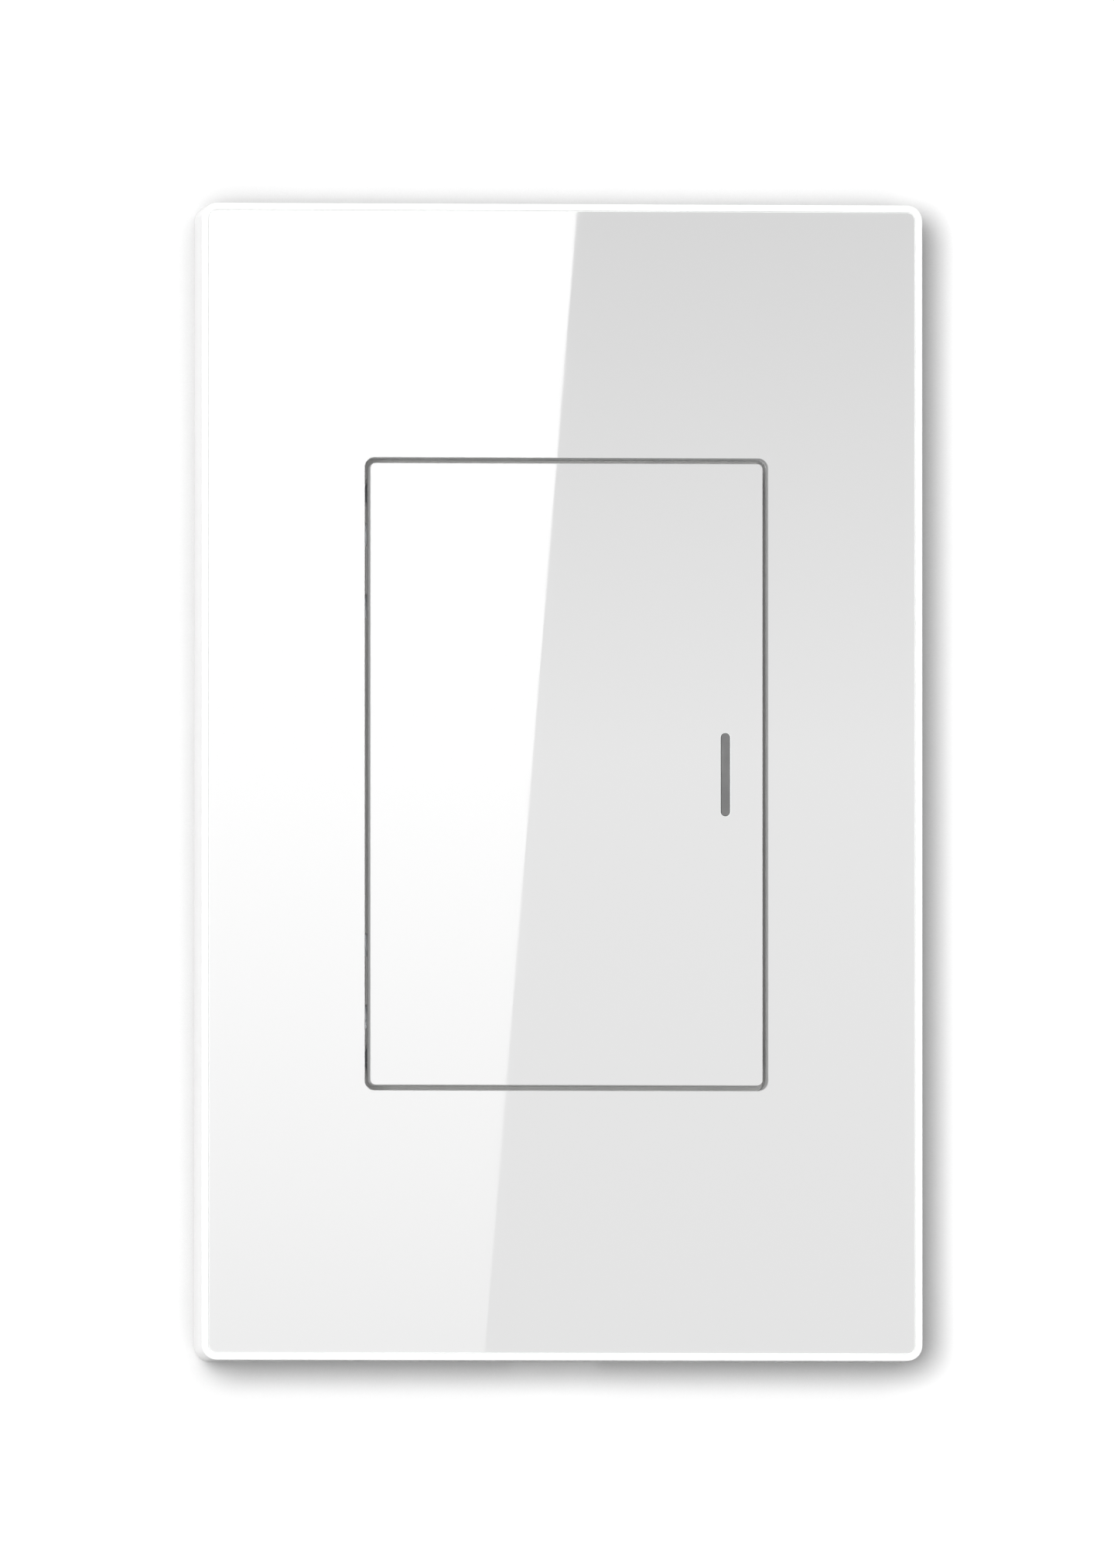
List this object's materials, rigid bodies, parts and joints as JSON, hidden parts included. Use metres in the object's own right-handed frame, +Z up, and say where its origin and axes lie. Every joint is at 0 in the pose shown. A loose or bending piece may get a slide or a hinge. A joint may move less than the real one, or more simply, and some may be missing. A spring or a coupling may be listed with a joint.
{
  "type": "light switch",
  "caption": "Smart wall light switch: side-hinged glass key with a light bar, pull-off glass frame, steel yoke and rear housing with screw terminals.",
  "frame": {"origin": "middle of the box screw pattern on the back face of the yoke, in the wall plane", "axes": "+Z up the wall, +Y into the wall, -Y out of the face"},
  "size_m": [0.0751, 0.037, 0.12],
  "materials": {
    "back_painted_glass": "gloss",
    "white_polycarbonate": "satin",
    "foam_tape": "matt",
    "key_moulding": "satin",
    "light_diffuser": "satin",
    "black_nylon": "matt",
    "grey_moulding": "matt",
    "housing_moulding": "matt",
    "galvanised_steel": "satin",
    "spring_steel": "polished",
    "zinc_screw": "bright",
    "brass_clamp": "bright",
    "green_screw": "gloss",
    "tin_plate": "satin",
    "silicone": "matt",
    "circuit_laminate": "satin",
    "lamp_epoxy": "satin",
    "relay_case": "satin",
    "ferrite": "matt",
    "winding_tape": "satin",
    "film_case": "satin",
    "capacitor_sleeve": "satin",
    "varistor_coat": "matt",
    "resistor_coat": "matt"
  },
  "bodies": {
    "base": {"chassis": "grey_moulding", "yoke": "galvanised_steel", "chassis_screws": "zinc_screw", "housing_screws": "zinc_screw", "ground_screw": "green_screw", "frame_clips": "spring_steel", "key_springs": "spring_steel", "stop_pads": "silicone", "switch_base": "black_nylon", "switch_cover": "tin_plate", "control_board": "circuit_laminate", "indicator_leds": "lamp_epoxy", "led_baffle": "black_nylon", "radio_module": "circuit_laminate", "radio_shield": "tin_plate", "header_socket": "black_nylon", "board_header": "black_nylon", "power_board": "circuit_laminate", "relay": "relay_case", "transformer_core": "ferrite", "transformer_winding": "winding_tape", "filter_capacitor": "film_case", "bulk_capacitors": "capacitor_sleeve", "varistor": "varistor_coat", "fuse_resistor": "resistor_coat", "terminal_block": "housing_moulding", "contact_bars": "brass_clamp", "rear_housing": "housing_moulding"},
    "frame": {"frame_glass": "back_painted_glass", "frame_adhesive": "foam_tape", "frame_carrier": "white_polycarbonate"},
    "key": {"key_glass": "back_painted_glass", "key_adhesive": "foam_tape", "light_bar": "light_diffuser", "key_carrier": "key_moulding"},
    "plunger": {"switch_plunger": "black_nylon"},
    "screw_1": {"terminal_screw_1": "zinc_screw"},
    "clamp_1": {"terminal_clamp_1": "tin_plate"},
    "screw_2": {"terminal_screw_2": "zinc_screw"},
    "clamp_2": {"terminal_clamp_2": "tin_plate"},
    "screw_3": {"terminal_screw_3": "zinc_screw"},
    "clamp_3": {"terminal_clamp_3": "tin_plate"}
  },
  "joints": [
    {"name": "frame_pull", "type": "slide", "parent": "base", "child": "frame", "axis": [0, -1, 0], "range_m": [0, 0.015], "deforming": ["frame_clips"]},
    {"name": "key_press", "type": "hinge", "parent": "base", "child": "key", "pos_m": [-0.0186, -0.004, 0], "axis": [0, 0, 1], "range_deg": [0, 1.2], "stiffness_Nm_per_rad": 2.6, "springref_deg": -0.69, "deforming": ["key_springs"]},
    {"name": "plunger_slide", "type": "slide", "parent": "base", "child": "plunger", "axis": [0, 1, 0], "range_m": [0, 0.0004]},
    {"name": "screw_turn_1", "type": "hinge", "parent": "base", "child": "screw_1", "pos_m": [-0.0096, 0.0187, -0.026], "axis": [0, -1, 0], "range_deg": [0, 2160]},
    {"name": "clamp_rise_1", "type": "slide", "parent": "base", "child": "clamp_1", "axis": [0, 1, 0], "range_m": [0, 0.003]},
    {"name": "screw_turn_2", "type": "hinge", "parent": "base", "child": "screw_2", "pos_m": [0, 0.0187, -0.026], "axis": [0, -1, 0], "range_deg": [0, 2160]},
    {"name": "clamp_rise_2", "type": "slide", "parent": "base", "child": "clamp_2", "axis": [0, 1, 0], "range_m": [0, 0.003]},
    {"name": "screw_turn_3", "type": "hinge", "parent": "base", "child": "screw_3", "pos_m": [0.0096, 0.0187, -0.026], "axis": [0, -1, 0], "range_deg": [0, 2160]},
    {"name": "clamp_rise_3", "type": "slide", "parent": "base", "child": "clamp_3", "axis": [0, 1, 0], "range_m": [0, 0.003]}
  ],
  "couplings": [
    {"joint": "plunger_slide", "follows": "key_press", "m_per_rad": 0.0166},
    {"joint": "screw_turn_1", "follows": "clamp_rise_1", "rad_per_m": 12566},
    {"joint": "screw_turn_2", "follows": "clamp_rise_2", "rad_per_m": 12566},
    {"joint": "screw_turn_3", "follows": "clamp_rise_3", "rad_per_m": 12566}
  ]
}
